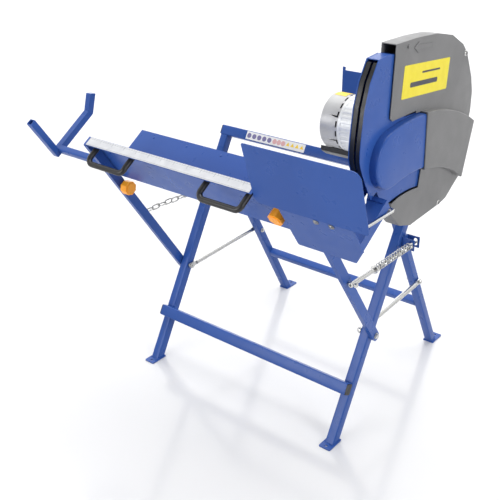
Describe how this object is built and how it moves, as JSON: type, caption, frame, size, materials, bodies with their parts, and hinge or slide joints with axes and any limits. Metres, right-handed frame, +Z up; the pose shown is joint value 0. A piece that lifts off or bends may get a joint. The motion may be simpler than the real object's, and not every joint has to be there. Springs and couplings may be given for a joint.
{
  "type": "rocking log saw",
  "caption": "Free-standing rocking log saw: a tilting steel trough on a leg frame feeds logs into a hooded circular blade with its motor behind",
  "frame": {"origin": "centre of the bounding box's underside, on the floor", "axes": "+X along the arbor from the motor to the blade, +Y to the rear, away from the operator, +Z up"},
  "size_m": [1.296, 1.0214, 1.216],
  "materials": {
    "blue_paint": "glossy powder coat",
    "grey_paint": "satin powder coat",
    "zinc_plate": "bright zinc plating",
    "blade_steel": "ground steel",
    "cast_aluminium": "silver painted cast ribs",
    "black_plastic": "satin black",
    "orange_plastic": "moulded orange",
    "scale_strip": "printed cream strip",
    "green_plastic": "moulded green",
    "red_plastic": "moulded red"
  },
  "bodies": {
    "frame": {"front_leg_left": "blue_paint", "front_leg_right": "blue_paint", "rear_leg_left": "blue_paint", "rear_leg_right": "blue_paint", "top_tube": "blue_paint", "front_crossbar": "blue_paint", "rear_crossbar": "blue_paint", "top_tube_cap_left": "black_plastic", "top_tube_cap_right": "black_plastic", "crossbar_cap_left": "black_plastic", "crossbar_cap_right": "black_plastic", "brace_rod_left": "zinc_plate", "brace_rod_right": "zinc_plate", "pivot_bolt_left": "zinc_plate", "pivot_bolt_right": "zinc_plate", "leg_bolt_left": "zinc_plate", "leg_bolt_right": "zinc_plate", "brace_bolt_left": "zinc_plate", "brace_bolt_right": "zinc_plate", "spring_bracket": "blue_paint", "chain_anchor": "zinc_plate", "motor_foot": "black_plastic", "motor_shell": "cast_aluminium", "fan_cowl": "black_plastic", "hood_left": "grey_paint", "hood_right": "grey_paint", "switch_plate": "blue_paint", "switch_box": "black_plastic", "mains_inlet": "black_plastic"},
    "rotor": {"rotor_shaft": "blade_steel", "fan": "black_plastic", "inner_flange": "blade_steel", "saw_blade": "blade_steel", "outer_flange": "blade_steel", "arbor_nut": "zinc_plate"},
    "rocker": {"rocker_leg_left": "blue_paint", "rocker_leg_right": "blue_paint", "trough": "blue_paint", "scale_strip": "scale_strip", "front_panel": "blue_paint", "panel_bolt_left": "zinc_plate", "panel_bolt_right": "zinc_plate", "stay_rod": "zinc_plate", "handle_left": "black_plastic", "handle_right": "black_plastic", "guard_left": "blue_paint", "guard_right": "blue_paint", "slit_trim_left": "black_plastic", "slit_trim_right": "black_plastic", "bar_guide": "blue_paint", "spring_pin": "zinc_plate"},
    "extension": {"extension_bar": "blue_paint"},
    "clamp_knob": {"clamp_knob": "orange_plastic"},
    "stop_knob": {"stop_knob": "orange_plastic"},
    "spring_rod": {"push_rod": "zinc_plate", "return_spring": "zinc_plate"},
    "chain_front": {"chain_front": "zinc_plate"},
    "chain_rear": {"chain_rear": "zinc_plate"},
    "start_button": {"start_button": "green_plastic"},
    "stop_button": {"stop_button": "red_plastic"}
  },
  "joints": [
    {"name": "rocker_tilt", "type": "hinge", "parent": "frame", "child": "rocker", "pos_m": [0.063, -0.08231, 0.3107], "axis": [-1, 0, 0], "range_deg": [0, 21.5], "stiffness_Nm_per_rad": 14, "springref_deg": -8},
    {"name": "blade_spin", "type": "hinge", "parent": "frame", "child": "rotor", "pos_m": [0.511, 0.04289, 0.915], "axis": [1, 0, 0], "continuous": true},
    {"name": "extension_slide", "type": "slide", "parent": "rocker", "child": "extension", "axis": [1, 0, 0], "range_m": [-0.06, 0.22]},
    {"name": "clamp_knob_turn", "type": "hinge", "parent": "rocker", "child": "clamp_knob", "pos_m": [-0.317, -0.33427, 0.68355], "axis": [1, 0, 0], "continuous": true},
    {"name": "stop_knob_turn", "type": "hinge", "parent": "rocker", "child": "stop_knob", "pos_m": [0.339, -0.40202, 0.7838], "axis": [0, -0.8285, -0.5599], "continuous": true},
    {"name": "spring_rod_swing", "type": "hinge", "parent": "rocker", "child": "spring_rod", "pos_m": [0.488, -0.25644, 0.56838], "axis": [-1, 0, 0], "range_deg": [-12, 1], "deforming": ["return_spring"]},
    {"name": "chain_front_swing", "type": "hinge", "parent": "rocker", "child": "chain_front", "pos_m": [-0.3622, -0.24469, 0.55098], "axis": [-1, 0, 0], "range_deg": [0, 40]},
    {"name": "chain_rear_swing", "type": "hinge", "parent": "frame", "child": "chain_rear", "pos_m": [-0.3568, 0.04789, 0.55098], "axis": [-1, 0, 0], "range_deg": [-37, 0]},
    {"name": "start_button_press", "type": "slide", "parent": "frame", "child": "start_button", "axis": [0, -1, 0], "range_m": [0, 0.0035], "stiffness_N_per_m": 500, "springref_m": -0.002},
    {"name": "stop_button_press", "type": "slide", "parent": "frame", "child": "stop_button", "axis": [0, -1, 0], "range_m": [0, 0.0035], "stiffness_N_per_m": 500, "springref_m": -0.002}
  ],
  "couplings": [
    {"joint": "spring_rod_swing", "follows": "rocker_tilt", "ratio": -0.505},
    {"joint": "chain_front_swing", "follows": "rocker_tilt", "ratio": 1.84},
    {"joint": "chain_rear_swing", "follows": "rocker_tilt", "ratio": -1.67}
  ]
}
